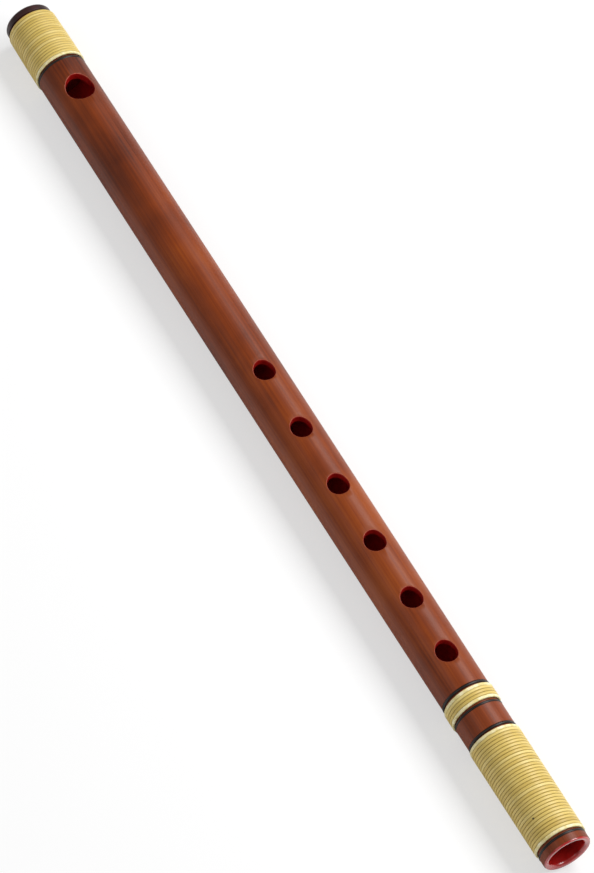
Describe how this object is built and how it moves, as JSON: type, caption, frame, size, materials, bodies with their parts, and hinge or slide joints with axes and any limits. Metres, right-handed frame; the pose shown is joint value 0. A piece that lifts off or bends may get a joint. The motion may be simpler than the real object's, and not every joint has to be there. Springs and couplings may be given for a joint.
{
  "type": "shinobue bamboo flute",
  "caption": "Side-blown bamboo flute with a mouth hole, finger holes, rattan windings and a red lacquered bore, closed at its head and open at its foot.",
  "frame": {"origin": "on the surface the flute lies on, under the middle of its length", "axes": "+X along the bore towards the open foot, +Z the way the mouth hole and finger holes face"},
  "size_m": [0.4, 0.02, 0.02],
  "materials": {
    "bamboo": "chestnut-brown lacquered bamboo, satin",
    "red_lacquer": "glossy vermilion lacquer",
    "cap_lacquer": "dark purple-brown lacquer, satin",
    "plug_wood": "bare wood",
    "stop_wax": "reddish wax",
    "rattan": "pale split rattan, satin",
    "black_lacquer": "black lacquer, satin"
  },
  "bodies": {
    "root": {"tube": "bamboo", "bore_lining": "red_lacquer", "head_cap": "cap_lacquer", "head_plug": "plug_wood", "bore_stop": "stop_wax", "head_wrap": "rattan", "foot_band": "rattan", "foot_wrap": "rattan", "head_wrap_edge_line": "black_lacquer", "foot_band_edge_line_head": "black_lacquer", "foot_band_edge_line_foot": "black_lacquer", "foot_wrap_edge_line_head": "black_lacquer", "foot_wrap_edge_line_foot": "black_lacquer"}
  },
  "joints": []
}
